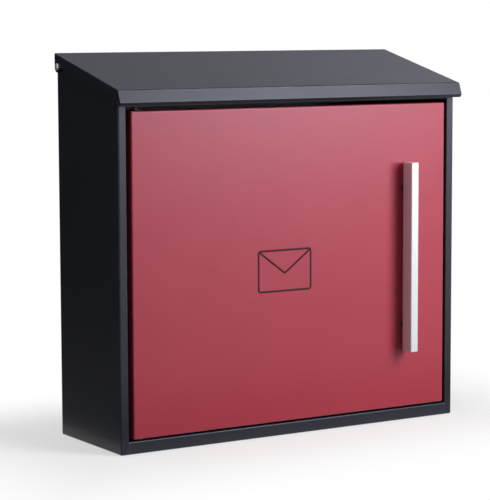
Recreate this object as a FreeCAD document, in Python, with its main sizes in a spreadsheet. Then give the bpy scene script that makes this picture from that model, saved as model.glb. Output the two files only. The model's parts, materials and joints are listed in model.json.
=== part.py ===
import FreeCAD, Part
import os
import re

import Sketcher

# Wall mailbox in folded sheet steel: an open box with a sloping lid that lifts
# at the front, and an inset door, hinged on the left, with a bar handle.
# Millimetres. +X is right as seen from the front, +Y goes into the wall, +Z is up.
# The origin is on the wall, at the centre of the four screw holes.

doc = FreeCAD.newDocument("wall_mailbox")

sizes = {
    # box
    "body_width": (360.0, "outside width of the box"),
    "body_depth": (113.0, "rear edge of the box to its front frame"),
    "wall_gap": (9.0, "box to wall, the height of the pressed ribs"),
    "sheet_wall": (1.0, "thickness of every folded sheet"),
    "bend_radius": (1.3, "outside radius of a fold"),
    "frame_width": (8.0, "front frame beside the door"),
    "sill_height": (11.3, "front frame below the door"),
    "frame_return": (15.0, "depth of the frame's fold behind the front"),
    "roof_gap": (1.5, "lid's underside to the top of the side walls"),
    "seam_width": (0.4, "width and depth of a mitre seam in the frame"),
    "drain_length": (14.0, "drain slot in the floor, across"),
    "drain_width": (4.0, "drain slot in the floor, front to rear"),
    "drain_spacing": (260.0, "between the two drain slots"),
    "drain_inset": (30.0, "drain slot to the rear edge of the box"),
    # back and wall fixing
    "back_flange": (10.0, "forward fold round the back panel"),
    "pivot_relief": (7.0, "side folds of the back panel end this far below the lid's pivots"),
    "hole_spacing_across": (240.0, "between the wall holes, level"),
    "hole_spacing_up": (220.0, "between the wall holes, upright"),
    "hole_base": (55.0, "lower wall holes above the floor of the box"),
    "hole_radius": (3.0, "wall hole"),
    "rib_width": (36.0, "foot of a pressed rib, upright"),
    "rib_end": (22.0, "end of a rib beyond its outer hole"),
    "rib_taper": (32.0, "angle of a rib's side from square, degrees"),
    # rail above the door
    "header_height": (11.0, "front of the rail above the door"),
    "header_shelf": (12.0, "rearward fold along the top of the rail"),
    # lid
    "lid_clearance": (4.9, "rail to the lid's underside, at the front"),
    "roof_rise": (30.0, "rear edge of the lid above its front fold"),
    "lid_front_reach": (5.3, "lid's front fold ahead of the frame"),
    "lid_rear_overhang": (0.5, "lid's rear edge behind the box"),
    "lid_side_gap": (1.6, "side wall to the lid's skirt"),
    "apron_drop": (11.2, "height of the lid's front apron"),
    "apron_lean": (4.2, "apron's lower edge ahead of its fold"),
    "lip_drop": (2.7, "height of the lip below the apron"),
    "lip_lean": (2.2, "lip's lower edge behind the apron's"),
    "lip_radius": (1.2, "outside radius of the bend above the lip"),
    "pivot_drop": (12.0, "lid's pivot below its rear edge"),
    "ear_radius": (5.5, "round ear of the lid about its pivot"),
    "pivot_radius": (1.6, "shank of the lid's pivot rivets"),
    "rivet_head_radius": (3.0, "head of a pivot rivet"),
    "rivet_head_height": (1.6, "height of a pivot rivet's head"),
    "pivot_washer_radius": (5.0, "nylon washer between ear and side wall"),
    "rivet_tail_radius": (2.8, "formed tail of a pivot rivet"),
    "rivet_tail_height": (1.4, "height of that tail"),
    "buffer_radius": (4.0, "rubber buffer under the lid"),
    "buffer_inset": (30.0, "buffer to the end of the rail"),
    # door
    "door_height": (285.8, "height of the door"),
    "hinge_gap": (4.3, "gap beside the door, on its hinged left"),
    "latch_gap": (3.2, "gap beside the door, on its right"),
    "door_sill_gap": (1.7, "gap below the door, where its lower bush stands"),
    "door_head_gap": (3.2, "gap above the door"),
    "door_proud": (0.9, "door's face ahead of the frame"),
    "door_depth": (14.0, "depth of the folded door"),
    "door_lip": (10.0, "inward fold along the rear of the door's edges"),
    "door_pivot_inset": (8.0, "door's pivot to its left edge"),
    "door_pivot_depth": (8.0, "door's pivot behind its face"),
    "pin_radius": (2.5, "door's pivot pin"),
    "pin_tail": (1.5, "door pin beyond the frame it is pressed into"),
    "pin_reach": (4.0, "door pin beyond the door's flange"),
    "bush_radius": (3.8, "sleeve of a door bush"),
    "bush_flange_radius": (5.0, "flange of a door bush"),
    "bush_flange": (1.5, "thickness of that flange"),
    "bush_reach": (2.0, "bush sleeve beyond the door's flange"),
    # handle
    "handle_width": (8.2, "width of the handle bar"),
    "handle_depth": (14.0, "depth of the handle bar"),
    "handle_length": (177.0, "length of the handle bar"),
    "handle_gap": (3.5, "handle bar to the door"),
    "handle_inset": (46.5, "middle of the bar to the door's right edge"),
    "handle_edge": (1.1, "rounding of the bar's long edges"),
    "handle_screw_spacing": (128.0, "between the handle's screws"),
    "screw_radius": (2.0, "handle screw"),
    "screw_bite": (8.0, "handle screw inside the bar"),
    "screw_head_radius": (3.6, "head of a handle screw"),
    "screw_head_height": (2.4, "height of a handle screw's head"),
    "washer_radius": (4.6, "washer behind the door"),
    "washer_thickness": (0.8, "thickness of that washer"),
    "spacer_radius": (3.4, "spacer between door and bar"),
    # magnetic catch
    "catch_length": (36.0, "length of the catch's front flange"),
    "catch_block": (26.0, "length of its block, which snaps through the bracket"),
    "catch_width": (12.0, "width of the catch"),
    "catch_depth": (13.0, "depth of the catch"),
    "catch_flange": (2.5, "thickness of its front flange"),
    "barb_height": (0.9, "height of its snap barbs"),
    "barb_length": (4.0, "length of its snap barbs"),
    "magnet_length": (20.0, "length of the magnet"),
    "magnet_width": (4.0, "width of the magnet"),
    "magnet_depth": (8.0, "depth of the magnet"),
    "pole_thickness": (1.2, "steel pole plate beside the magnet"),
    "pole_proud": (0.8, "pole plates ahead of the block"),
    "catch_air": (0.2, "pole plates to the closed door"),
    "bracket_height": (46.0, "height of the bracket that holds the catch"),
    "bracket_leg": (20.0, "leg of the bracket along the side wall"),
    # shared forms and fits
    "seat_fit": (0.03, "clearance of a fixed fit"),
    "running_fit": (0.06, "radial clearance of a turning fit"),
    "end_play": (0.2, "clearance between faces that slide past"),
}

same = 1e-4  # lengths closer than this are taken as equal

sheet = doc.addObject("Spreadsheet::Sheet", "Sizes")
for row, (alias, (size, note)) in enumerate(sizes.items(), start=1):
    sheet.set(f"A{row}", alias)
    sheet.set(f"B{row}", str(size))
    sheet.setAlias(f"B{row}", alias)
    sheet.set(f"C{row}", note)
doc.recompute()


def sized(text):
    """Expression on the sheet for a formula in the names of its sizes."""
    return re.sub(r"[a-z_]+", lambda word: f"Sizes.{word[0]}" if word[0] in sizes else word[0], text)


# Places that several pieces share, as formulas in the sizes above
half = "(body_width / 2)"
front = "(wall_gap + body_depth)"
jamb = "(body_width / 2 - frame_width)"
floor_drop = "(hole_base + hole_spacing_up / 2)"
door_left = f"({jamb} - hinge_gap)"
door_right = f"({jamb} - latch_gap)"
door_face = f"({front} + door_proud)"
door_rear = f"({door_face} - door_depth)"
door_foot = "(sill_height + door_sill_gap)"
door_top = f"({door_foot} + door_height)"
head = f"({door_top} + door_head_gap)"
rail_top = f"({head} + header_height)"
slope = "(roof_rise / (body_depth + lid_front_reach + lid_rear_overhang))"
steep = f"sqrt(1 + {slope}^2)"
lid_rear = "(wall_gap - lid_rear_overhang)"
lid_front = f"({front} + lid_front_reach)"
lid_front_height = f"({rail_top} + lid_clearance + sheet_wall * {steep} - {slope} * lid_front_reach)"
lid_rear_height = f"({lid_front_height} + roof_rise)"
lid_half = f"({half} + lid_side_gap + sheet_wall)"
apron_foot = f"({lid_front_height} - apron_drop)"
apron_front = f"({lid_front} + apron_lean)"
lip_foot = f"({apron_foot} - lip_drop)"
lip_front = f"({apron_front} - lip_lean)"
pivot_back = f"({lid_rear} + ear_radius)"
pivot_height = f"({lid_rear_height} - pivot_drop)"
pivot_setback = "(ear_radius - lid_rear_overhang)"
back_top = f"({pivot_height} + {pivot_setback})"
door_pivot_across = f"(-{door_left} + door_pivot_inset)"
door_pivot_back = f"({door_face} - door_pivot_depth)"
handle_across = f"({door_right} - handle_inset)"
handle_height = f"({door_foot} + door_height / 2)"
handle_rear = f"({door_face} + handle_gap)"
catch_across = f"({door_right} - door_lip / 2)"
catch_front = f"({door_rear} - catch_air - pole_proud)"
bracket_face = f"({catch_front} - catch_flange)"


def roof_top(distance):
    """Height of the lid's upper face at a distance from the wall."""
    return f"({lid_rear_height} - {slope} * ({distance} - {lid_rear}))"


def roof_under(distance):
    """Height of the lid's underside at a distance from the wall."""
    return f"({roof_top(distance)} - sheet_wall * {steep})"


def new_body(label):
    """Body built in place, with the floor of the box at height 0 before its placement."""
    body = doc.addObject("PartDesign::Body", label)
    body.Label = label
    body.setExpression("Placement.Base.z", sized(f"-{floor_drop}"))
    return body


def new_sketch(body, role, lift="0"):
    """Sketch on one of the body's own origin planes, lifted along the plane's normal."""
    plane = next(item for item in body.Origin.OriginFeatures if item.Role == role)
    made = body.newObject("Sketcher::SketchObject", f"{body.Name}_sketch")
    made.AttachmentSupport = [(plane, "")]
    made.MapMode = "FlatFace"
    made.setExpression("AttachmentOffset.Base.z", sized(lift))
    return made


def place_point(made, item, point, across, up):
    """Tie one point of a sketch to two formulas, measured from the sketch's origin."""
    for kind, text in (("DistanceX", across), ("DistanceY", up)):
        index = made.addConstraint(Sketcher.Constraint(kind, -1, 1, item, point, 1.0))
        made.setExpression(f"Constraints[{index}]", sized(text))


def draw_polygon(made, points):
    """Closed outline whose corners are pairs of formulas."""
    first = made.GeometryCount
    count = len(points)
    start = [FreeCAD.Vector(corner, corner * corner, 0) for corner in range(count)]
    for corner in range(count):
        made.addGeometry(Part.LineSegment(start[corner], start[(corner + 1) % count]))
    for corner in range(count):
        following = first + (corner + 1) % count
        made.addConstraint(Sketcher.Constraint("Coincident", first + corner, 2, following, 1))
    for corner, (across, up) in enumerate(points):
        place_point(made, first + corner, 1, across, up)


def draw_rectangle(made, left, right, low, high):
    draw_polygon(made, [(left, low), (right, low), (right, high), (left, high)])


def draw_circle(made, across, up, radius):
    item = made.addGeometry(Part.Circle(FreeCAD.Vector(0, 0, 0), FreeCAD.Vector(0, 0, 1), 1.0))
    place_point(made, item, 3, across, up)
    index = made.addConstraint(Sketcher.Constraint("Radius", item, 1.0))
    made.setExpression(f"Constraints[{index}]", sized(radius))


def settle(feature):
    """Recompute, and stop at once where a feature fails."""
    doc.recompute()
    if "Invalid" in feature.State or "Error" in feature.State:
        raise RuntimeError(f"{feature.Name}: {feature.getStatusString()}")
    return feature


def add_pad(body, made, length, side="One side", reverse=False, taper="0"):
    pad = body.newObject("PartDesign::Pad", f"{body.Name}_pad")
    pad.Profile = made
    pad.SideType = side
    pad.Reversed = reverse
    pad.setExpression("Length", sized(length))
    pad.setExpression("TaperAngle", sized(taper))
    return settle(pad)


def add_pocket(body, made, length, side="One side", reverse=False, taper="0"):
    """Cut that has to take material away, so its volume is compared."""
    before = body.Shape.Volume
    pocket = body.newObject("PartDesign::Pocket", f"{body.Name}_pocket")
    pocket.Profile = made
    pocket.SideType = side
    pocket.Reversed = reverse
    pocket.setExpression("Length", sized(length))
    pocket.setExpression("TaperAngle", sized(taper))
    settle(pocket)
    if not body.Shape.Volume < before:
        raise RuntimeError(f"{pocket.Name} cuts nothing")
    return pocket


def lies_on(shape, whole, side):
    """True where a face or an edge is flat against one side of the whole shape's box."""
    axis = side[0]
    limit = getattr(whole.BoundBox, side)
    return all(near(getattr(shape.BoundBox, axis + end), limit) for end in ("Min", "Max"))


def edges_between(feature, pairs):
    """Names of the straight edges that lie on both sides of a pair, such as XMin and YMin."""
    shape = feature.Shape
    return [
        f"Edge{number}"
        for number, edge in enumerate(shape.Edges, start=1)
        if any(lies_on(edge, shape, first) and lies_on(edge, shape, second) for first, second in pairs)
    ]


def faces_on(feature, sides):
    shape = feature.Shape
    return [
        f"Face{number}"
        for number, face in enumerate(shape.Faces, start=1)
        if any(lies_on(face, shape, side) for side in sides)
    ]


def edges_near(feature, rule):
    """Names of the edges whose box passes a rule."""
    return [
        f"Edge{number}"
        for number, edge in enumerate(feature.Shape.Edges, start=1)
        if rule(edge.BoundBox)
    ]


def add_fillet(body, feature, names, radius):
    if not names:
        raise RuntimeError(f"no edge to round on {feature.Name}")
    fillet = body.newObject("PartDesign::Fillet", f"{body.Name}_fillet")
    fillet.Base = (feature, names)
    fillet.setExpression("Radius", sized(radius))
    return settle(fillet)


def add_shell(body, feature, names):
    """Hollow a block to the sheet's thickness, open on the named faces."""
    shell = body.newObject("PartDesign::Thickness", f"{body.Name}_shell")
    shell.Base = (feature, names)
    shell.Reversed = True
    shell.setExpression("Value", sized("sheet_wall"))
    return settle(shell)


def add_tray(body, outline, lift, depth, reverse=False):
    """Hollow a block from its open face, leaving a sheet with its four edges folded and mitred."""
    left, right, low, high = outline
    made = new_sketch(body, "XZ_Plane", lift)
    draw_rectangle(made, f"{left} + sheet_wall", f"{right} - sheet_wall",
                   f"{low} + sheet_wall", f"{high} - sheet_wall")
    cavity = add_pocket(body, made, f"{depth} - sheet_wall", reverse=reverse)
    whole = cavity.Shape.BoundBox
    margin = value("sheet_wall / 2")
    mouth = -value(lift)

    def is_inner_fold(box):
        inside = box.XMin > whole.XMin + margin and box.XMax < whole.XMax - margin
        inside = inside and box.ZMin > whole.ZMin + margin and box.ZMax < whole.ZMax - margin
        return inside and near(box.YMin, box.YMax) and not near(box.YMin, mouth)

    return add_fillet(body, cavity, edges_near(cavity, is_inner_fold), "bend_radius - sheet_wall")


def value(text):
    """Number that a formula in the sizes gives."""
    return float(sheet.evalExpression(sized(text)))


def near(first, second):
    return abs(first - second) < same


def turned(label, profile, turn, across, back, up):
    """Turned piece: (radius, height) corners spun about its axis, then turned and placed."""
    body = doc.addObject("PartDesign::Body", label)
    body.Label = label
    made = new_sketch(body, "XZ_Plane")
    draw_polygon(made, profile)
    spin = body.newObject("PartDesign::Revolution", f"{body.Name}_spin")
    spin.Profile = made
    spin.ReferenceAxis = (made, ["V_Axis"])
    spin.Angle = 360.0
    body.Placement = FreeCAD.Placement(FreeCAD.Vector(0, 0, 0), turn)
    for axis, text in (("x", across), ("y", back), ("z", f"{up} - {floor_drop}")):
        body.setExpression(f"Placement.Base.{axis}", sized(text))
    doc.recompute()
    return body


def group(label, members):
    """Identical loose pieces that share one node."""
    made = doc.addObject("Part::Compound", label)
    made.Label = label
    made.Links = members
    doc.recompute()
    return made


upright = FreeCAD.Rotation()
upside_down = FreeCAD.Rotation(FreeCAD.Vector(1, 0, 0), 180)
to_left = FreeCAD.Rotation(FreeCAD.Vector(0, 1, 0), -90)
to_right = FreeCAD.Rotation(FreeCAD.Vector(0, 1, 0), 90)
to_front = FreeCAD.Rotation(FreeCAD.Vector(1, 0, 0), 90)


def make_wrapper():
    """Sides and floor folded from one sheet, with the front frame folded in round the door."""
    body = new_body("body_wrapper")
    plan = new_sketch(body, "XY_Plane")
    draw_rectangle(plan, f"-{half}", half, f"-{front}", "-wall_gap")
    block = add_pad(body, plan, lid_rear_height)
    folds = [("XMin", "YMin"), ("XMax", "YMin"), ("XMin", "ZMin"), ("XMax", "ZMin"), ("YMin", "ZMin")]
    rounded = add_fillet(body, block, edges_between(block, folds), "bend_radius")
    add_shell(body, rounded, faces_on(rounded, ["ZMax", "YMax"]))

    opening = new_sketch(body, "XZ_Plane", front)
    draw_rectangle(opening, f"-{jamb}", jamb, "sill_height", f"{lid_rear_height} + bend_radius")
    add_pocket(body, opening, "2 * sheet_wall")

    returns = new_sketch(body, "XZ_Plane", front)
    outer = f"({jamb} + sheet_wall)"
    draw_polygon(returns, [
        (f"-{outer}", lid_rear_height), (f"-{outer}", "sill_height - sheet_wall"),
        (outer, "sill_height - sheet_wall"), (outer, lid_rear_height),
        (jamb, lid_rear_height), (jamb, "sill_height"),
        (f"-{jamb}", "sill_height"), (f"-{jamb}", lid_rear_height),
    ])
    folded = add_pad(body, returns, "frame_return", reverse=True)
    side = value(jamb)
    sill = value("sill_height")
    face = -value(front)

    def is_frame_fold(box):
        on_face = near(box.YMin, face) and near(box.YMax, face)
        on_jamb = near(box.XMin, box.XMax) and near(abs(box.XMin), side)
        on_sill = near(box.ZMin, box.ZMax) and near(box.ZMin, sill)
        return on_face and (on_jamb or on_sill)

    add_fillet(body, folded, edges_near(folded, is_frame_fold), "bend_radius")

    roof = new_sketch(body, "YZ_Plane")
    top_of_wall = f"({{}} - roof_gap * {steep})"
    ahead = f"({front} + bend_radius)"
    shoulder = f"({pivot_back} + sheet_wall)"
    draw_polygon(roof, [
        (f"-{ahead}", top_of_wall.format(roof_under(ahead))),
        (f"-{shoulder}", top_of_wall.format(roof_under(shoulder))),
        ("-wall_gap", back_top),
        ("0", back_top),
        ("0", f"{lid_rear_height} + bend_radius"),
        (f"-{ahead}", f"{lid_rear_height} + bend_radius"),
    ])
    add_pocket(body, roof, "body_width + 2 * bend_radius", side="Symmetric")

    seams = new_sketch(body, "XZ_Plane", front)
    diagonal = "sqrt(frame_width^2 + sill_height^2)"
    aside = f"(seam_width / 2 * sill_height / {diagonal})"
    above = f"(seam_width / 2 * frame_width / {diagonal})"
    rise = "(bend_radius * sill_height / frame_width)"
    inner_across = f"({jamb} - bend_radius)"
    inner_up = f"(sill_height + {rise})"
    outer_across = f"({half} - bend_radius)"
    for hand in ("-1", "1"):
        draw_polygon(seams, [
            (f"{hand} * ({inner_across} + {aside})", f"{inner_up} + {above}"),
            (f"{hand} * ({inner_across} - {aside})", f"{inner_up} - {above}"),
            (f"{hand} * ({outer_across} - {aside})", f"{rise} - {above}"),
            (f"{hand} * ({outer_across} + {aside})", f"{rise} + {above}"),
        ])
    add_pocket(body, seams, "seam_width")

    pivots = new_sketch(body, "YZ_Plane")
    draw_circle(pivots, f"-{pivot_back}", pivot_height, "pivot_radius + seat_fit")
    add_pocket(body, pivots, "body_width + 2 * bend_radius", side="Symmetric")

    pin = new_sketch(body, "XY_Plane", "sill_height")
    draw_circle(pin, door_pivot_across, f"-{door_pivot_back}", "pin_radius + seat_fit")
    add_pocket(body, pin, "2 * sheet_wall")

    drains = new_sketch(body, "XY_Plane", "sheet_wall")
    for hand in ("-1", "1"):
        middle = f"{hand} * drain_spacing / 2"
        draw_rectangle(drains, f"{middle} - drain_length / 2", f"{middle} + drain_length / 2",
                       "-(wall_gap + drain_inset + drain_width)", "-(wall_gap + drain_inset)")
    add_pocket(body, drains, "2 * sheet_wall")
    return body


def make_back():
    """Back sheet with folded edges and two pressed ribs that stand on the wall."""
    body = new_body("back_panel")
    inside = f"({half} - sheet_wall - seat_fit)"
    outline = (f"-{inside}", inside, "(sheet_wall + seat_fit)", back_top)
    sheet_edge = new_sketch(body, "XZ_Plane", "wall_gap")
    draw_rectangle(sheet_edge, *outline)
    block = add_pad(body, sheet_edge, "back_flange")
    folds = [(side, "YMax") for side in ("XMin", "XMax", "ZMin", "ZMax")]
    add_fillet(body, block, edges_between(block, folds), "bend_radius")
    add_tray(body, outline, "(wall_gap + back_flange)", "back_flange")

    # A rib's hollow keeps the sheet's thickness along its slanting sides
    rows = [f"(hole_base + {row} * hole_spacing_up)" for row in ("0", "1")]
    rib_half = "(hole_spacing_across / 2 + rib_end)"
    inset = "(sheet_wall / cos(rib_taper) - sheet_wall * tan(rib_taper))"
    feet = new_sketch(body, "XZ_Plane", "wall_gap")
    hollows = new_sketch(body, "XZ_Plane", "wall_gap + sheet_wall")
    for row in rows:
        draw_rectangle(feet, f"-{rib_half}", rib_half, f"{row} - rib_width / 2", f"{row} + rib_width / 2")
        draw_rectangle(hollows, f"-{rib_half} + {inset}", f"{rib_half} - {inset}",
                       f"{row} - rib_width / 2 + {inset}", f"{row} + rib_width / 2 - {inset}")
    add_pad(body, feet, "wall_gap", reverse=True, taper="-rib_taper")
    add_pocket(body, hollows, "wall_gap", taper="-rib_taper")

    holes = new_sketch(body, "XZ_Plane", "wall_gap")
    for row in rows:
        for hand in ("-1", "1"):
            draw_circle(holes, f"{hand} * hole_spacing_across / 2", row, "hole_radius")
    add_pocket(body, holes, "2 * wall_gap")

    # The corners are cut away: below for the box's rounded folds, above for the lid's pivots
    reliefs = new_sketch(body, "XZ_Plane", "wall_gap + back_flange")
    for hand in ("-1", "1"):
        fold = f"{hand} * ({inside} - bend_radius)"
        edge = f"{hand} * {half}"
        draw_rectangle(reliefs, fold, edge, "0", "sheet_wall + seat_fit + bend_radius")
        draw_rectangle(reliefs, fold, edge, f"{pivot_height} - pivot_relief", f"{back_top} + bend_radius")
    add_pocket(body, reliefs, "back_flange + wall_gap")
    return body


def make_header():
    """Folded rail above the door, welded between the frame's uprights."""
    body = new_body("front_header")
    section = new_sketch(body, "YZ_Plane")
    draw_polygon(section, [
        (f"-{front}", head), (f"-{front} + frame_return", head),
        (f"-{front} + frame_return", f"{head} + sheet_wall"),
        (f"-{front} + sheet_wall", f"{head} + sheet_wall"),
        (f"-{front} + sheet_wall", f"{rail_top} - sheet_wall"),
        (f"-{front} + header_shelf", f"{rail_top} - sheet_wall"),
        (f"-{front} + header_shelf", rail_top), (f"-{front}", rail_top),
    ])
    rail = add_pad(body, section, f"2 * ({jamb} - seat_fit)", side="Symmetric")
    folds = [("YMin", "ZMin"), ("YMin", "ZMax")]
    outside = add_fillet(body, rail, edges_between(rail, folds), "bend_radius")
    inner = -value(front) + value("sheet_wall")
    half_length = value(jamb)

    def is_inner_fold(box):
        return box.XLength > half_length and near(box.YMin, inner) and near(box.YMax, inner)

    add_fillet(body, outside, edges_near(outside, is_inner_fold), "bend_radius - sheet_wall")
    pin = new_sketch(body, "XY_Plane", f"{head} + sheet_wall")
    draw_circle(pin, door_pivot_across, f"-{door_pivot_back}", "pin_radius + seat_fit")
    add_pocket(body, pin, "2 * sheet_wall")
    return body


def make_lid():
    """Sloping lid with side skirts, a leaning front apron with a tucked lip, and two round ears."""
    # Inside of the folded sheet: corner under the front fold, corner at the apron's lower bend
    lean = "(apron_lean / apron_drop)"
    aslant = f"sqrt(1 + {lean}^2)"
    tuck = "(lip_lean / lip_drop)"
    tucked = f"sqrt(1 + {tuck}^2)"
    fold_drop = f"(sheet_wall * ({steep} - {slope} * {aslant}) / (1 - {slope} * {lean}))"
    fold_corner = (f"-({lid_front} - sheet_wall * {aslant} + {lean} * {fold_drop})",
                   f"({lid_front_height} - {fold_drop})")
    bend_rise = f"(sheet_wall * ({tucked} - {aslant}) / ({tuck} + {lean}))"
    bend_front = f"({apron_front} - sheet_wall * {aslant} - {lean} * {bend_rise})"
    bend_corner = (f"-{bend_front}", f"({apron_foot} + {bend_rise})")

    body = new_body("lid")
    outline = new_sketch(body, "YZ_Plane")
    draw_polygon(outline, [
        (f"-{lid_rear}", lid_rear_height), (f"-{lid_front}", lid_front_height),
        (f"-{apron_front}", apron_foot), (f"-{lip_front}", lip_foot),
        (f"-({lip_front} - sheet_wall / {tucked})", f"{lip_foot} + sheet_wall * {tuck} / {tucked}"),
        bend_corner, (f"-{lid_rear}", f"{bend_corner[1]} + {slope} * ({bend_front} - {lid_rear})"),
    ])
    block = add_pad(body, outline, f"2 * {lid_half}", side="Symmetric")
    fold_back = -value(lid_front)
    bend_back = -value(apron_front)
    fold_up = value(lid_front_height)
    outer = value(lid_half)

    def is_lid_fold(box):
        along = near(box.YMin, fold_back) and near(box.YMax, fold_back)
        aside = near(box.XMin, box.XMax) and near(abs(box.XMin), outer)
        return along or (aside and near(box.ZMin, fold_up))

    def is_lip_bend(box):
        return near(box.YMin, bend_back) and near(box.YMax, bend_back)

    folded = add_fillet(body, block, edges_near(block, is_lid_fold), "bend_radius")
    add_fillet(body, folded, edges_near(folded, is_lip_bend), "lip_radius")

    inside = new_sketch(body, "YZ_Plane")
    draw_polygon(inside, [
        ("0", roof_under("0")), fold_corner, bend_corner, ("0", f"{apron_foot} - bend_radius"),
    ])
    hollow = add_pocket(body, inside, f"2 * ({lid_half} - sheet_wall)", side="Symmetric")
    skirt = value(f"{lid_half} - sheet_wall")
    corner_back = value(fold_corner[0])
    corner_up = value(fold_corner[1])

    def is_inner_fold(box):
        along = near(box.YMin, box.YMax) and near(box.ZMin, box.ZMax) and box.XLength > skirt
        corner = near(box.ZMin, corner_up)
        aside = near(box.XMin, box.XMax) and near(abs(box.XMin), skirt)
        upper = near(box.ZMin, corner_up) and near(box.YMin, corner_back)
        return (along and corner) or (aside and upper)

    add_fillet(body, hollow, edges_near(hollow, is_inner_fold), "bend_radius - sheet_wall")

    for lift in (f"-{lid_half}", f"{lid_half} - sheet_wall"):
        ear = new_sketch(body, "YZ_Plane", lift)
        draw_circle(ear, f"-{pivot_back}", pivot_height, "ear_radius")
        add_pad(body, ear, "sheet_wall")
    holes = new_sketch(body, "YZ_Plane")
    draw_circle(holes, f"-{pivot_back}", pivot_height, "pivot_radius + running_fit")
    add_pocket(body, holes, f"2 * {lid_half} + 2 * sheet_wall", side="Symmetric")
    return body


def make_lid_pivots():
    """On each side: a flat-headed rivet through ear and wall, and a nylon washer between those two."""
    rivets = []
    washers = []
    inside = "-sheet_wall"
    under_head = "(lid_side_gap + sheet_wall + end_play)"
    bore = "(pivot_radius + seat_fit)"
    for name, hand, turn in (("left", "-1", to_left), ("right", "1", to_right)):
        place = (f"{hand} * {half}", f"-{pivot_back}", pivot_height)
        rivets.append(turned(f"lid_pivot_rivet_{name}", [
            ("0", f"{inside} - rivet_tail_height"), ("rivet_tail_radius", f"{inside} - rivet_tail_height"),
            ("rivet_tail_radius", inside), ("pivot_radius", inside),
            ("pivot_radius", under_head), ("rivet_head_radius", under_head),
            ("rivet_head_radius", f"{under_head} + rivet_head_height"),
            ("0", f"{under_head} + rivet_head_height"),
        ], turn, *place))
        washers.append(turned(f"pivot_washer_{name}", [
            (bore, "0"), ("pivot_washer_radius", "0"),
            ("pivot_washer_radius", "lid_side_gap - end_play"), (bore, "lid_side_gap - end_play"),
        ], turn, *place))
    return [*rivets, group("lid_pivot_washers", washers)]


def make_buffers():
    """Two rubber buffers on the rail, on which the closed lid rests."""
    middle = "(header_shelf / 2 + sheet_wall / 2)"
    lowest = roof_under(f"({front} - {middle} + buffer_radius)")
    tall = f"({lowest} - {rail_top} - end_play)"
    pair = []
    for name, hand in (("left", "-1"), ("right", "1")):
        pair.append(turned(f"buffer_{name}", [
            ("0", "0"), ("buffer_radius", "0"), ("buffer_radius", tall), ("0", tall),
        ], upright, f"{hand} * ({jamb} - buffer_inset)", f"-({front} - {middle})", rail_top))
    return group("lid_buffers", pair)


def make_door():
    """Door folded as a pan, with an inward lip along the rear of its edges."""
    body = new_body("door_panel")
    outline = (f"-{door_left}", door_right, door_foot, door_top)
    sheet_edge = new_sketch(body, "XZ_Plane", door_face)
    draw_rectangle(sheet_edge, *outline)
    block = add_pad(body, sheet_edge, "door_depth", reverse=True)
    folds = [(side, "YMin") for side in ("XMin", "XMax", "ZMin", "ZMax")]
    add_fillet(body, block, edges_between(block, folds), "bend_radius")
    add_tray(body, outline, door_rear, "door_depth", reverse=True)

    lip = new_sketch(body, "XZ_Plane", door_rear)
    edge = "sheet_wall / 2"
    draw_rectangle(lip, f"-{door_left} + {edge}", f"{door_right} - {edge}",
                   f"{door_foot} + {edge}", f"{door_top} - {edge}")
    draw_rectangle(lip, f"-{door_left} + door_lip", f"{door_right} - door_lip",
                   f"{door_foot} + door_lip", f"{door_top} - door_lip")
    add_pad(body, lip, "sheet_wall")

    pivots = new_sketch(body, "XY_Plane", f"{door_top} + sheet_wall")
    draw_circle(pivots, door_pivot_across, f"-{door_pivot_back}", "bush_radius + seat_fit")
    add_pocket(body, pivots, "door_height + 2 * sheet_wall")
    screws = new_sketch(body, "XZ_Plane", door_face)
    for hand in ("-1", "1"):
        draw_circle(screws, handle_across, f"{handle_height} + {hand} * handle_screw_spacing / 2",
                    "screw_radius + seat_fit")
    add_pocket(body, screws, "2 * sheet_wall")
    return body


def make_door_pivots():
    """Pin pressed into the sill and pin pressed into the rail, each in a flanged bush in the door's edge."""
    pins = []
    bushes = []
    bore = "(pin_radius + running_fit)"
    ends = (("bottom", upright, "sill_height", "door_sill_gap"), ("top", upside_down, head, "door_head_gap"))
    for name, turn, level, gap in ends:
        place = (door_pivot_across, f"-{door_pivot_back}", level)
        tail = "-(sheet_wall + pin_tail)"
        tip = f"({gap} + sheet_wall + pin_reach)"
        pins.append(turned(f"door_pivot_pin_{name}", [
            ("0", tail), ("pin_radius", tail), ("pin_radius", tip), ("0", tip),
        ], turn, *place))
        sleeve = f"({gap} + sheet_wall + bush_reach)"
        bushes.append(turned(f"bush_{name}", [
            (bore, f"{gap} - bush_flange"), ("bush_flange_radius", f"{gap} - bush_flange"),
            ("bush_flange_radius", gap), ("bush_radius", gap), ("bush_radius", sleeve), (bore, sleeve),
        ], turn, *place))
    return [*pins, group("door_pivot_bushes", bushes)]


def make_handle():
    """Bar with softened long edges and two blind screw holes in its rear."""
    body = new_body("handle_bar")
    section = new_sketch(body, "XY_Plane", f"{handle_height} - handle_length / 2")
    draw_rectangle(section, f"{handle_across} - handle_width / 2", f"{handle_across} + handle_width / 2",
                   f"-({handle_rear} + handle_depth)", f"-{handle_rear}")
    bar = add_pad(body, section, "handle_length")
    length = value("handle_length")
    add_fillet(body, bar, edges_near(bar, lambda box: near(box.ZLength, length)), "handle_edge")
    screws = new_sketch(body, "XZ_Plane", handle_rear)
    for hand in ("-1", "1"):
        draw_circle(screws, handle_across, f"{handle_height} + {hand} * handle_screw_spacing / 2",
                    "screw_radius + seat_fit")
    add_pocket(body, screws, "screw_bite + seat_fit", reverse=True)
    return body


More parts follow.
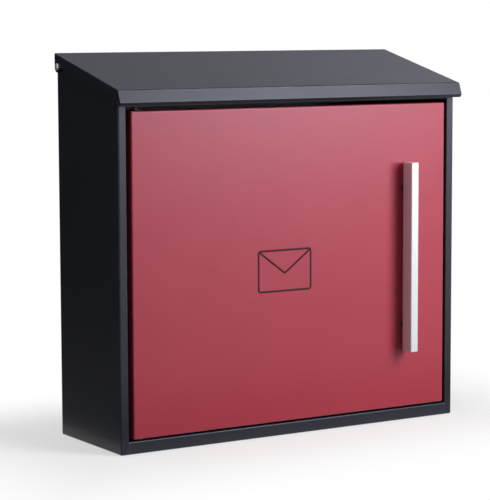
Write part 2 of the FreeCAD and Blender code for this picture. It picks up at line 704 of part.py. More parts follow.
def make_handle_fixings():
    """Spacers in front of the door's sheet, washers and screws behind it."""
    bore = "(screw_radius + seat_fit)"
    inside = f"({door_face} - sheet_wall)"
    parts = {
        "handle_spacers": (door_face, [
            (bore, "0"), ("spacer_radius", "0"), ("spacer_radius", "handle_gap"), (bore, "handle_gap"),
        ]),
        "handle_washers": (inside, [
            (bore, "-washer_thickness"), ("washer_radius", "-washer_thickness"),
            ("washer_radius", "0"), (bore, "0"),
        ]),
        "handle_screws": (inside, [
            ("0", "-washer_thickness - screw_head_height"),
            ("screw_head_radius", "-washer_thickness - screw_head_height"),
            ("screw_head_radius", "-washer_thickness"), ("screw_radius", "-washer_thickness"),
            ("screw_radius", "sheet_wall + handle_gap + screw_bite"),
            ("0", "sheet_wall + handle_gap + screw_bite"),
        ]),
    }
    made = []
    for label, (depth, profile) in parts.items():
        pair = []
        for name, hand in (("lower", "-1"), ("upper", "1")):
            up = f"{handle_height} + {hand} * handle_screw_spacing / 2"
            pair.append(turned(f"{label}_{name}", profile, to_front, handle_across, f"-{depth}", up))
        made.append(group(label, pair))
    return made


def make_bracket():
    """Angle welded to the right-hand wall, with a window that the catch snaps into."""
    body = new_body("catch_bracket")
    wall = f"({half} - sheet_wall - seat_fit)"
    plan = new_sketch(body, "XY_Plane", f"{handle_height} - bracket_height / 2")
    tip = f"({catch_across} - catch_width / 2 - sheet_wall)"
    draw_polygon(plan, [
        (tip, f"-{bracket_face}"), (wall, f"-{bracket_face}"), (wall, f"-{bracket_face} + bracket_leg"),
        (f"{wall} - sheet_wall", f"-{bracket_face} + bracket_leg"),
        (f"{wall} - sheet_wall", f"-{bracket_face} + sheet_wall"), (tip, f"-{bracket_face} + sheet_wall"),
    ])
    angle = add_pad(body, plan, "bracket_height")
    outside = add_fillet(body, angle, edges_between(angle, [("XMax", "YMin")]), "bend_radius")
    inner_across = value(f"{wall} - sheet_wall")
    inner_back = value(f"-{bracket_face} + sheet_wall")

    def is_inner_fold(box):
        upright_edge = near(box.XMin, inner_across) and near(box.XMax, inner_across)
        return upright_edge and near(box.YMin, inner_back) and near(box.YMax, inner_back)

    add_fillet(body, outside, edges_near(outside, is_inner_fold), "bend_radius - sheet_wall")
    window = new_sketch(body, "XZ_Plane", bracket_face)
    draw_rectangle(window, f"{tip} - bend_radius", f"{catch_across} + catch_width / 2 + seat_fit",
                   f"{handle_height} - catch_block / 2 - seat_fit",
                   f"{handle_height} + catch_block / 2 + seat_fit")
    add_pocket(body, window, "2 * sheet_wall")
    return body


def make_catch_housing():
    """Moulded block with a front flange and two snap barbs, slotted for the magnet and its pole plates."""
    body = new_body("catch_housing")
    section = new_sketch(body, "YZ_Plane", f"{catch_across} - catch_width / 2")
    face = f"(-{catch_front})"
    seat = f"(-{bracket_face})"
    barb = f"({seat} + sheet_wall + seat_fit)"
    rear = f"(-{catch_front} + catch_depth)"
    upper = [
        (face, "catch_length / 2"), (seat, "catch_length / 2"), (seat, "catch_block / 2"),
        (barb, "catch_block / 2"), (barb, "(catch_block / 2 + barb_height)"),
        (f"({barb} + barb_length)", "catch_block / 2"), (rear, "catch_block / 2"),
    ]
    outline = [(back, f"{handle_height} + {up}") for back, up in upper]
    outline += [(back, f"{handle_height} - {up}") for back, up in reversed(upper)]
    draw_polygon(section, outline)
    add_pad(body, section, "catch_width")
    slot = new_sketch(body, "XZ_Plane", catch_front)
    reach = "(magnet_width / 2 + pole_thickness + seat_fit)"
    draw_rectangle(slot, f"{catch_across} - {reach}", f"{catch_across} + {reach}",
                   f"{handle_height} - magnet_length / 2 - seat_fit",
                   f"{handle_height} + magnet_length / 2 + seat_fit")
    add_pocket(body, slot, "magnet_depth")
    return body


def make_block(label, left, right, ahead, behind, length):
    """Plain block centred on the catch's height, from a level section."""
    body = new_body(label)
    plan = new_sketch(body, "XY_Plane", f"{handle_height} - {length} / 2")
    draw_rectangle(plan, left, right, f"-{ahead}", f"-{behind}")
    add_pad(body, plan, length)
    return body


def make_catch_inside():
    """Magnet held between two steel plates that stand proud of the block."""
    deep = f"({catch_front} - magnet_depth)"
    tip = f"({catch_front} + pole_proud)"
    side = f"({catch_across} + magnet_width / 2)"
    other = f"({catch_across} - magnet_width / 2)"
    magnet = make_block("catch_magnet", other, side, catch_front, deep, "magnet_length")
    plates = [
        make_block("pole_plate_left", f"{other} - pole_thickness", other, tip, deep, "magnet_length"),
        make_block("pole_plate_right", side, f"{side} + pole_thickness", tip, deep, "magnet_length"),
    ]
    return [magnet, group("catch_pole_plates", plates)]


nodes = [make_wrapper(), make_back(), make_header(), make_lid()]
nodes += make_lid_pivots()
nodes += [make_buffers(), make_door()]
nodes += make_door_pivots()
nodes += [make_handle()]
nodes += make_handle_fixings()
nodes += [make_bracket(), make_catch_housing()]
nodes += make_catch_inside()
doc.recompute()

for item in doc.Objects:
    if "Invalid" in item.State or "Error" in item.State:
        raise RuntimeError(f"{item.Name} failed: {item.State}")
for node in nodes:
    if node.Shape.isNull() or not node.Shape.isValid():
        raise RuntimeError(f"{node.Label} has no valid shape")

os.makedirs("parts", exist_ok=True)
for node in nodes:
    node.Shape.exportStep(f"parts/{node.Label}.step")
    print(node.Label, len(node.Shape.Solids), round(node.Shape.Volume, 1))
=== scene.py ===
import bmesh
import bpy
import json
import math
from mathutils import Matrix, Vector


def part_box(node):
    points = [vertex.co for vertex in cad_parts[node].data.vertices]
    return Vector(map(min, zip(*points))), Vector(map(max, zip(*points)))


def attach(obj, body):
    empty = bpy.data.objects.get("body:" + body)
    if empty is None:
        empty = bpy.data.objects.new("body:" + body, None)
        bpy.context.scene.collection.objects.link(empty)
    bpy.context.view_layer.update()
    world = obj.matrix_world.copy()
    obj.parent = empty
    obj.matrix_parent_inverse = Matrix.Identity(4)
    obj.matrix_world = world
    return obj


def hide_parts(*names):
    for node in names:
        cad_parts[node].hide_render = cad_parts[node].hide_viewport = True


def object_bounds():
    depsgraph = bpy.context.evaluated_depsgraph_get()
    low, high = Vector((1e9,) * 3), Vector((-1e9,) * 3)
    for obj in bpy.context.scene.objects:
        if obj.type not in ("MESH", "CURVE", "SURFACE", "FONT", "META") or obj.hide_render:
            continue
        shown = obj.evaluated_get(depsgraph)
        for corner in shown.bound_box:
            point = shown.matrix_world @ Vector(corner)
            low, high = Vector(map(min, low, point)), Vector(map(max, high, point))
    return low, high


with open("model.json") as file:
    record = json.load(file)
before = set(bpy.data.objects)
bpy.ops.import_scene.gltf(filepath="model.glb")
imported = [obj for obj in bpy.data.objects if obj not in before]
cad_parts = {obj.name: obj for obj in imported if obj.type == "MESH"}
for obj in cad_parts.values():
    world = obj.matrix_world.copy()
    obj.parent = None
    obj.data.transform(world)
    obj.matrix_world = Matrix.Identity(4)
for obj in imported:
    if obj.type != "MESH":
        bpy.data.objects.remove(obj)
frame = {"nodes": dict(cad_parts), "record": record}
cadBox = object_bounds()
scene = bpy.context.scene
scene.view_settings.view_transform = "Standard"
print("frame loaded,", len(frame["nodes"]), "nodes")


class Wire:  # an output socket that takes part in sums
    def __init__(self, graph, socket):
        self.graph = graph
        self.socket = socket

    def other(self, name):  # another output of the same node
        return Wire(self.graph, self.socket.node.outputs[name])

    def sum(self, operation, first, second=0.0):
        return self.graph.node("ShaderNodeMath", {"operation": operation}, {0: first, 1: second})

    def __add__(self, value):
        return self.sum("ADD", self, value)

    def __sub__(self, value):
        return self.sum("SUBTRACT", self, value)

    def __rsub__(self, value):
        return self.sum("SUBTRACT", value, self)

    def __mul__(self, value):
        return self.sum("MULTIPLY", self, value)

    def __abs__(self):
        return self.sum("ABSOLUTE", self)

    __radd__ = __add__
    __rmul__ = __mul__


class Graph:  # a node tree, of a material, the world or a mesh
    def __init__(self, tree):
        self.tree = tree
        tree.nodes.clear()

    def find(self, sockets, name):
        if isinstance(name, int):
            return sockets[name]
        return next((s for s in sockets if s.identifier == name), None) or sockets[name]

    def node(self, kind, settings=None, inputs=None, take=0):
        made = self.tree.nodes.new(kind)
        for name, value in (settings or {}).items():
            setattr(made, name, value)
        for name, value in (inputs or {}).items():
            socket = self.find(made.inputs, name)
            if isinstance(value, Wire):
                self.tree.links.new(value.socket, socket)
            else:
                socket.default_value = value
        return Wire(self, self.find(made.outputs, take)) if len(made.outputs) else None

    def place(self):  # where a point is on the object at rest
        return self.node("ShaderNodeTexCoord", take="Object")

    def noise(self, vector, size, detail=2.0, rough=0.5):  # 0 to 1, with spots about this large in metres
        sockets = {"Vector": vector, "Scale": 1.0 / size, "Detail": detail, "Roughness": rough}
        return self.node("ShaderNodeTexNoise", inputs=sockets)

    def stretched(self, vector, scale):
        return self.node("ShaderNodeMapping", inputs={"Vector": vector, "Scale": scale})

    def ease(self, value, low, high):  # 0 below low, 1 above high, smooth between
        sockets = {"Value": value, "From Min": low, "From Max": high}
        return self.node("ShaderNodeMapRange", {"interpolation_type": "SMOOTHSTEP"}, sockets)

    def least(self, *values):
        lowest = values[0]
        for value in values[1:]:
            lowest = lowest.sum("MINIMUM", lowest, value)
        return lowest

    def most(self, *values):
        highest = values[0]
        for value in values[1:]:
            highest = highest.sum("MAXIMUM", highest, value)
        return highest

    def mix(self, share, first, second):  # colours
        sockets = {"Factor_Float": share, "A_Color": first, "B_Color": second}
        return self.node("ShaderNodeMix", {"data_type": "RGBA"}, sockets, take="Result_Color")

    def bump(self, height, depth, strength=1.0):
        sockets = {"Height": height, "Distance": depth, "Strength": strength}
        return self.node("ShaderNodeBump", inputs=sockets)


def newFinish(name):
    material = bpy.data.materials.new(name)
    material.use_nodes = True
    return material, Graph(material.node_tree)


def closeFinish(graph, sockets):
    surface = graph.node("ShaderNodeBsdfPrincipled", inputs=sockets)
    graph.node("ShaderNodeOutputMaterial", inputs={"Surface": surface})


def tone(colour, share=1.0):  # a colour with its alpha, darker or lighter by a share
    return (*[part * share for part in colour], 1.0)


boxLow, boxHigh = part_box("body_wrapper")
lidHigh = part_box("lid")[1]
doorLow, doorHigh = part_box("door_panel")
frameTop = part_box("front_header")[1].z
folds = {
    "frameWidth": 0.008,  # front frame beside the door
    "lidFold": (-0.1273, 0.1526),  # y and z of the fold between the lid's roof and its apron
}


def boxFolds(graph, x, y, z):  # distance to the nearest fold of the box or the lid
    foldY, foldZ = folds["lidFold"]
    slope = (lidHigh.z - foldZ) / (lidHigh.y - foldY)
    side = abs(x)
    boxSide = abs(side - boxHigh.x)
    boxFront = graph.most(abs(y - boxLow.y), z - frameTop)
    boxFoot = abs(z - boxLow.z)
    jamb = abs(side - (boxHigh.x - folds["frameWidth"]))
    lidTop = abs(z - lidHigh.z - (y - lidHigh.y) * slope)
    lidEdge = graph.least(abs(side - lidHigh.x), abs(y - foldY))
    return graph.least(
        graph.most(boxSide, boxFront), graph.most(boxSide, boxFoot), graph.most(boxFront, boxFoot),
        graph.most(jamb, boxFront), graph.most(lidEdge, lidTop),
    )


def doorFolds(graph, x, y, z):  # distance to the nearest fold round the door's face
    side = graph.least(abs(x - doorLow.x), abs(x - doorHigh.x))
    rim = graph.least(abs(z - doorLow.z), abs(z - doorHigh.z))
    return graph.most(graph.least(side, rim), abs(y - doorLow.y))


powderCoat = {
    "grain": 0.0010,  # peel of the baked powder
    "grainDepth": 0.00006,
    "grainBump": 0.35,
    "speckRange": (0.30, 0.75),  # the grain's high spots
    "speckShare": 0.25,
    "speckTone": 1.35,
    "mottle": 0.045,  # slow change of tone across a sheet
    "mottleTones": (0.93, 1.07),
    "foldReach": 0.0024,  # painted highlight along the folds, with some wear
    "foldPatch": 0.006,
    "foldRange": (0.25, 0.75),
    "wornAndLitColour": (0.88, 0.13),  # colour of the folds' painted highlight and wear: share of the coat's own colour, and grey that is added
    "roughness": 0.29,
    "mottleRough": 0.06,
    "speckRough": 0.04,
    "foldRough": 0.06,  # the folds are rubbed smoother
    "tint": (0.80, 0.82, 1.0),  # of the sheen
    "black": (0.0150, 0.0165, 0.0220),
    "blackSheen": 0.36,
    # share of the painted fold highlight and wear on the black coat
    "blackWearAndHighlight": 0.18,
    "red": (0.400, 0.040, 0.062),
    "redSheen": 0.42,
    # share of the painted fold highlight and wear on the red coat
    "redWearAndHighlight": 0.25,
}


def coatFinish(colourName, nearestFold):
    coat = powderCoat
    material, graph = newFinish(colourName + "Coat")
    colour = coat[colourName]
    place = graph.place()
    axes = graph.node("ShaderNodeSeparateXYZ", inputs={"Vector": place})
    grain = graph.noise(place, coat["grain"], detail=3.0, rough=0.6)
    mottle = graph.noise(place, coat["mottle"], detail=4.0)
    away = nearestFold(graph, axes, axes.other("Y"), axes.other("Z"))
    fold = 1.0 - graph.ease(away, 0.0, coat["foldReach"])
    fold = fold * graph.ease(graph.noise(place, coat["foldPatch"], detail=3.0), *coat["foldRange"])
    speck = graph.ease(grain, *coat["speckRange"])
    base = graph.mix(mottle, *[tone(colour, share) for share in coat["mottleTones"]])
    base = graph.mix(speck * coat["speckShare"], base, tone(colour, coat["speckTone"]))
    keep, grey = coat["wornAndLitColour"]
    wornAndLit = tone([keep * part + grey for part in colour])
    # the folds are painted lighter: a painted highlight along the edges, with a little wear
    base = graph.mix(fold * coat[colourName + "WearAndHighlight"], base, wornAndLit)
    rough = coat["roughness"] + mottle * coat["mottleRough"] + speck * coat["speckRough"]
    closeFinish(graph, {
        "Base Color": base,
        "Roughness": rough - fold * coat["foldRough"],
        "Specular IOR Level": coat[colourName + "Sheen"],
        "Specular Tint": tone(coat["tint"]),
        "Normal": graph.bump(grain, coat["grainDepth"], coat["grainBump"]),
    })
    return material


barMetal = {
    "colour": (0.73, 0.75, 0.77),
    "lineSize": 0.00035,  # brushing, which runs up the bar
    "lineLength": 0.06,
    "lineTones": (0.90, 1.05),
    "lineDepth": 0.00001,
    "lineBump": 0.25,
    "haze": 0.03,  # slow change of gloss
    "metallic": 0.38,  # the rest is the pale film of its anodising
    "roughness": 0.22,
    "lineRough": 0.10,
    "hazeRough": 0.04,
}


def brushedFinish(name):
    material, graph = newFinish(name)
    place = graph.place()
    along = graph.stretched(place, (1.0, 1.0, barMetal["lineSize"] / barMetal["lineLength"]))
    lines = graph.noise(along, barMetal["lineSize"], detail=3.0, rough=0.65)
    haze = graph.noise(place, barMetal["haze"], detail=3.0)
    closeFinish(graph, {
        "Base Color": graph.mix(lines, *[tone(barMetal["colour"], share) for share in barMetal["lineTones"]]),
        "Metallic": barMetal["metallic"],
        "Roughness": barMetal["roughness"] + lines * barMetal["lineRough"] + haze * barMetal["hazeRough"],
        "Normal": graph.bump(lines, barMetal["lineDepth"], barMetal["lineBump"]),
    })
    return material


smallFinishes = {  # colour, second colour, size of the change, metallic, roughness, bump depth, sheen
    "zincPlate": ((0.60, 0.61, 0.62), (0.74, 0.75, 0.74), 0.0035, 1.0, 0.36, 0.000008, 0.5),
    "blackenedSteel": ((0.035, 0.035, 0.038), (0.065, 0.064, 0.066), 0.0020, 1.0, 0.45, 0.000008, 0.5),
    "mouldedNylon": ((0.008, 0.008, 0.009), (0.015, 0.015, 0.016), 0.0008, 0.0, 0.62, 0.00002, 0.3),
    "softRubber": ((0.012, 0.012, 0.012), (0.022, 0.022, 0.021), 0.0006, 0.0, 0.72, 0.00003, 0.3),
    "whiteMoulding": ((0.74, 0.74, 0.72), (0.80, 0.80, 0.785), 0.0020, 0.0, 0.42, 0.00001, 0.5),
    "pressedFerrite": ((0.045, 0.045, 0.048), (0.085, 0.083, 0.085), 0.0007, 0.2, 0.60, 0.00002, 0.4),
    "screenInk": ((0.040, 0.012, 0.015), (0.060, 0.018, 0.022), 0.0009, 0.0, 0.48, 0.00001, 0.12),
}
smallPatches = {"range": (0.3, 0.7), "rough": 0.10, "bump": 0.5}  # shared by all of them


def smallFinish(name):
    first, second, size, metallic, roughness, depth, sheen = smallFinishes[name]
    material, graph = newFinish(name)
    place = graph.place()
    patch = graph.noise(place, size, detail=3.0, rough=0.6)
    share = graph.ease(patch, *smallPatches["range"])
    closeFinish(graph, {
        "Base Color": graph.mix(share, tone(first), tone(second)),
        "Metallic": metallic,
        "Roughness": roughness + (patch - 0.5) * smallPatches["rough"],
        "Specular IOR Level": sheen,
        "Normal": graph.bump(patch, depth, smallPatches["bump"]),
    })
    return material


finishes = {name: smallFinish(name) for name in smallFinishes}
finishes["blackCoat"] = coatFinish("black", boxFolds)
finishes["redCoat"] = coatFinish("red", doorFolds)
finishes["brushedBar"] = brushedFinish("brushedBar")
finishOfSlot = {
    "black_powder_coat": "blackCoat", "red_powder_coat": "redCoat", "bright_metal": "brushedBar",
    "zinc_steel": "zincPlate", "black_steel": "blackenedSteel", "black_nylon": "mouldedNylon",
    "black_rubber": "softRubber", "white_plastic": "whiteMoulding", "ferrite": "pressedFerrite",
}
for row in frame["record"]["subparts"]:
    for held in frame["nodes"][row["node"]].material_slots:
        held.material = finishes[finishOfSlot[row["material_slot"]]]
print("finishes made,", len(finishes))


def growMesh(name, mesh, tree, values):  # runs a tree on a mesh and keeps the result as a plain mesh
    piece = bpy.data.objects.new(name, mesh)
    scene.collection.objects.link(piece)
    modifier = piece.modifiers.new(name, "NODES")
    modifier.node_group = tree
    for item in tree.interface.items_tree:
        if item.name in values:
            modifier[item.identifier] = values[item.name]
    made = bpy.data.meshes.new_from_object(piece.evaluated_get(bpy.context.evaluated_depsgraph_get()))
    piece.modifiers.clear()
    piece.data = made
    return piece


def newTree(name, kind, labels):  # a mesh tree with its named inputs
    tree = bpy.data.node_groups.new(name, "GeometryNodeTree")
    tree.interface.new_socket("Geometry", in_out="OUTPUT", socket_type="NodeSocketGeometry")
    tree.interface.new_socket("Geometry", in_out="INPUT", socket_type="NodeSocketGeometry")
    for label in labels:
        tree.interface.new_socket(label, in_out="INPUT", socket_type=kind)
    graph = Graph(tree)
    return graph, graph.node("NodeGroupInput")


def closeTree(graph, shape, finish):
    shape = graph.node("GeometryNodeRealizeInstances", inputs={"Geometry": shape})
    shape = graph.node("GeometryNodeSetMaterial", inputs={"Geometry": shape, "Material": finish})
    graph.node("NodeGroupOutput", inputs={"Geometry": shape})


envelopeSign = {  # a plain envelope, printed on the door in thin lines
    "middle": (-0.0109, -0.0135),
    "width": 0.056,
    "height": 0.037,
    "flap": 0.021,  # depth of the flap's point
    "stroke": 0.0018,
    "ink": 0.00006,
    "corner": 0.0022,
    "cornerSteps": 6,
}


def makeEnvelope():
    graph, sizes = newTree("envelopeLines", "NodeSocketFloat", ("Stroke", "Ink", "Corner"))
    lines = graph.node("GeometryNodeMeshToCurve", inputs={"Mesh": sizes})
    corner = {"Curve": lines, "Count": envelopeSign["cornerSteps"], "Radius": sizes.other("Corner")}
    lines = graph.node("GeometryNodeFilletCurve", {"mode": "POLY"}, corner)
    nib = {"Width": sizes.other("Ink"), "Height": sizes.other("Stroke")}
    pen = graph.node("GeometryNodeCurvePrimitiveQuadrilateral", inputs=nib)
    drawn = {"Curve": lines, "Profile Curve": pen, "Fill Caps": True}
    closeTree(graph, graph.node("GeometryNodeCurveToMesh", inputs=drawn), finishes["screenInk"])
    across, up = envelopeSign["middle"]
    half = envelopeSign["width"] / 2
    tall = envelopeSign["height"] / 2
    face = doorLow.y - envelopeSign["ink"] / 2
    inset = envelopeSign["corner"] / 2
    points = [(-half, -tall), (half, -tall), (half, tall), (-half, tall)]
    points += [(inset - half, tall - inset), (0.0, tall - envelopeSign["flap"]), (half - inset, tall - inset)]
    mesh = bpy.data.meshes.new("envelopeLines")
    edges = [(0, 1), (1, 2), (2, 3), (3, 0), (4, 5), (5, 6)]
    mesh.from_pydata([(across + x, face, up + z) for x, z in points], edges, [])
    return growMesh("door_envelope_sign", mesh, graph.tree, {
        "Stroke": envelopeSign["stroke"], "Ink": envelopeSign["ink"], "Corner": envelopeSign["corner"],
    })


sign = makeEnvelope()
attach(sign, "door")
print("envelope sign made,", len(sign.data.polygons), "faces")


def turnedMesh(name, profile, segments, turn, press=None):  # (radius, height) corners, spun pole to pole
    made = bmesh.new()
    rings = []
    for radius, height in profile:
        ring = []
        for step in range(segments if radius > 0.0 else 1):
            angle = 2.0 * math.pi * step / segments
            x, y = radius * math.cos(angle), radius * math.sin(angle)
            sunk = press(x, y, height) if press else 0.0
            ring.append(made.verts.new(turn @ Vector((x, y, height - sunk))))
        rings.append(ring)
    for lower, upper in zip(rings, rings[1:]):
        for step in range(segments):
            following = step + 1
            corners = [lower[step % len(lower)], lower[following % len(lower)]]
            corners += [upper[following % len(upper)], upper[step % len(upper)]]
            made.faces.new(dict.fromkeys(corners))  # three corners at a pole
    bmesh.ops.recalc_face_normals(made, faces=made.faces)
    mesh = bpy.data.meshes.new(name)
    made.to_mesh(mesh)
    made.free()
    return mesh


def makeRow(name, mesh, finish, first, step, turn, crease):  # two copies of a mesh, the second one turned
    graph, sizes = newTree(name, "NodeSocketVector", ("First", "Step", "Turn"))
    line = {"Count": 2, "Start Location": sizes.other("First"), "Offset": sizes.other("Step")}
    line = graph.node("GeometryNodeMeshLine", {"mode": "OFFSET"}, line)
    number = graph.node("GeometryNodeInputIndex")
    turned = {0: sizes.other("Turn"), "Scale": number}
    turned = graph.node("ShaderNodeVectorMath", {"operation": "SCALE"}, turned)
    copies = {"Points": line, "Instance": sizes, "Rotation": turned}
    closeTree(graph, graph.node("GeometryNodeInstanceOnPoints", inputs=copies), finish)
    piece = growMesh(name, mesh, graph.tree, {"First": first, "Step": step, "Turn": turn})
    piece.data.polygons.foreach_set("use_smooth", [True] * len(piece.data.polygons))
    piece.data.set_sharp_from_angle(angle=crease)
    return piece


def domed(radius, low, high, steps):  # a round head's upper side, edge to pole
    quarter = [math.pi / 2 * step / steps for step in range(steps + 1)]
    arc = [(radius * math.cos(angle), low + (high - low) * math.sin(angle)) for angle in quarter]
    return [*arc[:-1], (0.0, high)]


pivotRivet = {
    "shank": 0.0016,
    "tail": 0.0028,  # formed end inside the box
    "tailHeight": 0.0014,
    "tailTip": (0.8, 0.3),  # share of the tail's radius at its tip, share of its height that narrows
    "headHeight": 0.0016,
    "edge": 0.0004,  # upright edge of the head
    "domeRings": 10,
    "segments": 48,
    "crease": math.radians(40),
}


def makeRivets():
    low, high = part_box("lid_pivot_rivet_left")
    head = (high.z - low.z) / 2
    length = high.x - low.x
    under = -pivotRivet["headHeight"]
    shank = pivotRivet["shank"]
    wide = pivotRivet["tail"]
    tall = pivotRivet["tailHeight"]
    tip, narrowing = pivotRivet["tailTip"]
    profile = [
        (0.0, -length), (wide * tip, -length), (wide, tall * narrowing - length), (wide, tall - length),
        (shank, tall - length), (shank, under), (head, under),
        *domed(head, under + pivotRivet["edge"], 0.0, pivotRivet["domeRings"]),
    ]
    outwards = Matrix.Rotation(math.radians(-90), 3, "Y")
    mesh = turnedMesh("pivotRivet", profile, pivotRivet["segments"], outwards)
    first = (low.x, (low.y + high.y) / 2, (low.z + high.z) / 2)
    step = (-2.0 * low.x, 0.0, 0.0)
    return makeRow("lid_pivot_rivets", mesh, finishes["zincPlate"], first, step,
                   (0.0, 0.0, math.pi), pivotRivet["crease"])


rivets = makeRivets()
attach(rivets, "box")
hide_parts("lid_pivot_rivet_left", "lid_pivot_rivet_right")
print("rivets made,", len(rivets.data.polygons), "faces")

handleScrew = {
    "shank": 0.0020,
    "headHeight": 0.0024,
    "headEdge": 0.0011,  # upright edge of the pan head
    "recess": (0.0019, 0.00042, 0.0012),  # cross recess: reach of an arm, half its width, depth
    "recessWall": (1.6, 0.8),  # mouth of an arm and slope of its sides, in half widths
    "recessEnd": 0.55,  # share of the reach along which an arm gets shallow
    "rings": 22,
    "segments": 72,
    "turn": math.radians(38),  # the second screw stopped at another angle
    "crease": math.radians(30),
}


def crossRecess(x, y, height):  # how far the driver's recess goes down at a point of the head
    reach, half, depth = handleScrew["recess"]
    mouth, wall = handleScrew["recessWall"]
    if height <= -handleScrew["headHeight"] + handleScrew["headEdge"]:
        return 0.0
    arm = min(abs(x), abs(y))
    out = max(abs(x), abs(y))
    across = min(1.0, max(0.0, (half * mouth - arm) / (half * wall)))
    along = min(1.0, max(0.0, (reach - out) / (reach * handleScrew["recessEnd"])))
    return depth * across * along


def makeScrews():
    low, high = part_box("handle_screws")
    head = (high.x - low.x) / 2
    length = high.y - low.y
    under = -handleScrew["headHeight"]
    edge = under + handleScrew["headEdge"]
    crown = [head * (1.0 - step / handleScrew["rings"]) for step in range(handleScrew["rings"])]
    shank = handleScrew["shank"]
    profile = [(0.0, -length), (shank, -length), (shank, under), (head, under)]
    profile += [(radius, edge - edge * math.sqrt(1.0 - (radius / head) ** 2)) for radius in crown]
    profile.append((0.0, 0.0))
    inwards = Matrix.Rotation(math.radians(-90), 3, "X")
    mesh = turnedMesh("handleScrew", profile, handleScrew["segments"], inwards, crossRecess)
    first = ((low.x + high.x) / 2, high.y, low.z + head)
    step = (0.0, 0.0, high.z - low.z - 2.0 * head)
    return makeRow("handle_fixing_screws", mesh, finishes["zincPlate"], first, step,
                   (0.0, handleScrew["turn"], 0.0), handleScrew["crease"])


screws = makeScrews()
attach(screws, "door")
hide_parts("handle_screws")
print("screws made,", len(screws.data.polygons), "faces")

shot = {
    "place": Vector((-1.00264, -1.64774, 0.20773)),
    "azimuth": math.radians(31.906),
    "elevation": math.radians(6.361),
    "roll": math.radians(-0.204),
    "lens": 145.87,
    "clip": (0.05, 50.0),
}


def makeCamera():
    turn, down, roll = shot["azimuth"], shot["elevation"], shot["roll"]
    ahead = Vector((math.sin(turn) * math.cos(down), math.cos(turn) * math.cos(down), -math.sin(down)))
    level = Vector((math.cos(turn), -math.sin(turn), 0.0))
    upright = level.cross(ahead)
    right = level * math.cos(roll) + upright * math.sin(roll)
    above = upright * math.cos(roll) - level * math.sin(roll)
    camera = bpy.data.objects.new("photoCamera", bpy.data.cameras.new("photoCamera"))
    scene.collection.objects.link(camera)
    camera.data.lens = shot["lens"]
    camera.data.clip_start, camera.data.clip_end = shot["clip"]
    facing = Matrix((right, above, -ahead)).transposed().to_4x4()
    camera.matrix_world = Matrix.Translation(shot["place"]) @ facing
    scene.camera = camera


makeCamera()

studio = {
    "floorDrop": 0.0004,
    "floorHalf": 9.0,
    "seenFloor": (0.90, 0.90, 0.90),
    "dust": 0.02,  # faint change of tone in the paper
    "dustTones": (0.99, 1.01),
    "litFloor": (0.20, 0.20, 0.20),  # what the floor throws back on the object
    "shadowReach": (0.02, 0.20),  # the floor fades to white this far from the box
    "shadowShare": 0.45,
    "fill": 0.13,
}
softboxes = {  # place, what it points at, width, height, brightness, mirrored by the coat
    "keyBox": ((0.62, -1.06, 0.45), (0.0, -0.12, 0.0), 0.53, 0.84, 8.3, True),
    "topBox": ((-0.10, -0.10, 1.35), (0.0, -0.06, 0.0), 1.10, 0.90, 1.9, False),
    "sideBox": ((-1.30, -0.135, 0.0), (0.12, -0.135, 0.0), 0.20, 0.80, 2.9, False),
}
studioCards = {  # middle, facing, width, height, tone at the left and right end; only reflections show them
    "rearCard": ((-0.605, 0.55, 0.35), (0.20, -1.0, 0.0), 0.85, 1.3, 0.03, 0.03),
    "backCard": ((-0.07, 0.60, 0.35), (0.0, -1.0, 0.0), 0.24, 1.3, 1.4, 0.9),
    "greyCard": ((0.76, 0.60, 0.45), (-0.35, -1.0, 0.0), 1.50, 1.3, 0.32, 1.02),
    "floorCard": ((-0.56, 0.15, cadBox[0].z), (0.0, 0.0, 1.0), 0.72, 0.9, 0.02, 0.12),
    "frontCard": ((0.10, -0.240, cadBox[0].z), (0.0, 0.0, 1.0), 0.70, 0.16, 0.03, 0.03),
    "topCard": ((0.55, -0.10, 1.0), (0.0, 0.0, -1.0), 0.9, 0.9, 0.02, 0.02),
    "leftCard": ((-1.35, -0.62, 0.25), (0.90, 0.42, 0.0), 1.6, 1.5, 0.40, 0.04),
}
cardTint = (0.90, 0.90, 1.0)  # the cards are a little blue


def makeSoftboxes():
    for name, (place, aim, width, height, bright, mirrored) in softboxes.items():
        lamp = bpy.data.lights.new(name, "AREA")
        lamp.shape = "RECTANGLE"
        lamp.size = width
        lamp.size_y = height
        lamp.energy = 4.0 * bright * width * height  # the same brightness whatever its size
        held = bpy.data.objects.new(name, lamp)
        scene.collection.objects.link(held)
        held.location = place
        held.rotation_euler = (Vector(aim) - Vector(place)).to_track_quat("-Z", "Y").to_euler()
        held.visible_glossy = mirrored


def seenDirectly(graph):  # 1 for what the camera, a mirror or glass shows, 0 for light on the object
    path = graph.node("ShaderNodeLightPath")
    return graph.most(path, path.other("Is Glossy Ray"), path.other("Is Transmission Ray"))


def makeWorld():
    world = bpy.data.worlds.new("studioWorld")
    world.use_nodes = True
    scene.world = world
    graph = Graph(world.node_tree)
    white = tone((1.0, 1.0, 1.0))
    light = graph.node("ShaderNodeBackground", inputs={"Color": white, "Strength": studio["fill"]})
    shown = graph.node("ShaderNodeBackground", inputs={"Color": white, "Strength": 1.0})
    both = graph.node("ShaderNodeMixShader", inputs={0: seenDirectly(graph), 1: light, 2: shown})
    graph.node("ShaderNodeOutputWorld", inputs={"Surface": both})


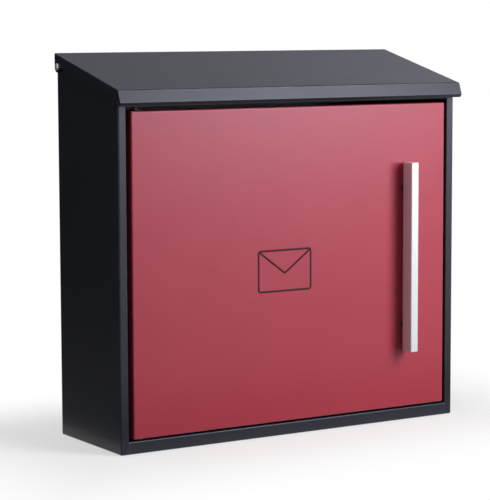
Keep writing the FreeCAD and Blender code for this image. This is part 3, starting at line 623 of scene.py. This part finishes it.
def makeFlat(name, middle, facing, width, height):
    turn = Vector(facing).to_track_quat("Z", "Y")
    corners = [(-width, -height), (width, -height), (width, height), (-width, height)]
    mesh = bpy.data.meshes.new(name)
    places = [Vector(middle) + turn @ Vector((x / 2, y / 2, 0.0)) for x, y in corners]
    mesh.from_pydata(places, [], [(0, 1, 2, 3)])
    flat = bpy.data.objects.new(name, mesh)
    scene.collection.objects.link(flat)
    return flat


def makeFloor():
    wide = 2.0 * studio["floorHalf"]
    level = cadBox[0].z - studio["floorDrop"]
    floor = makeFlat("studioFloor", (0.0, 0.0, level), (0.0, 0.0, 1.0), wide, wide)
    material, graph = newFinish("paleFloor")
    place = graph.place()
    axes = graph.node("ShaderNodeSeparateXYZ", inputs={"Vector": place})
    middle = (boxLow.y + boxHigh.y) / 2
    away = graph.most(abs(axes) - boxHigh.x, abs(axes.other("Y") - middle) - (boxHigh.y - middle))
    share = 1.0 - (1.0 - graph.ease(away, *studio["shadowReach"])) * studio["shadowShare"]
    dust = graph.noise(place, studio["dust"], detail=3.0)
    seen = seenDirectly(graph)
    paper = graph.mix(dust, *[tone(studio["seenFloor"], change) for change in studio["dustTones"]])
    paper = graph.mix(seen, tone(studio["litFloor"]), paper)
    paper = graph.node("ShaderNodeBsdfDiffuse", inputs={"Color": paper})
    white = graph.node("ShaderNodeEmission", inputs={"Color": tone((1.0, 1.0, 1.0)), "Strength": 1.0})
    both = graph.node("ShaderNodeMixShader", inputs={0: share * seen, 1: paper, 2: white})
    graph.node("ShaderNodeOutputMaterial", inputs={"Surface": both})
    floor.data.materials.append(material)


def makeCards():
    for name, (middle, facing, width, height, leftTone, rightTone) in studioCards.items():
        card = makeFlat(name, middle, facing, width, height)
        material, graph = newFinish(name)
        across = graph.node("ShaderNodeSeparateXYZ", inputs={"Vector": graph.place()})
        ends = [corner.co.x for corner in card.data.vertices]
        share = graph.ease(across, min(ends), max(ends))
        shade = graph.mix(share, tone(cardTint, leftTone), tone(cardTint, rightTone))
        plain = graph.node("ShaderNodeEmission", inputs={"Color": shade, "Strength": 1.0})
        graph.node("ShaderNodeOutputMaterial", inputs={"Surface": plain})
        card.data.materials.append(material)
        card.visible_camera = False
        card.visible_diffuse = False
        card.visible_shadow = False


makeSoftboxes()
makeWorld()
makeFloor()
makeCards()
print("studio made")
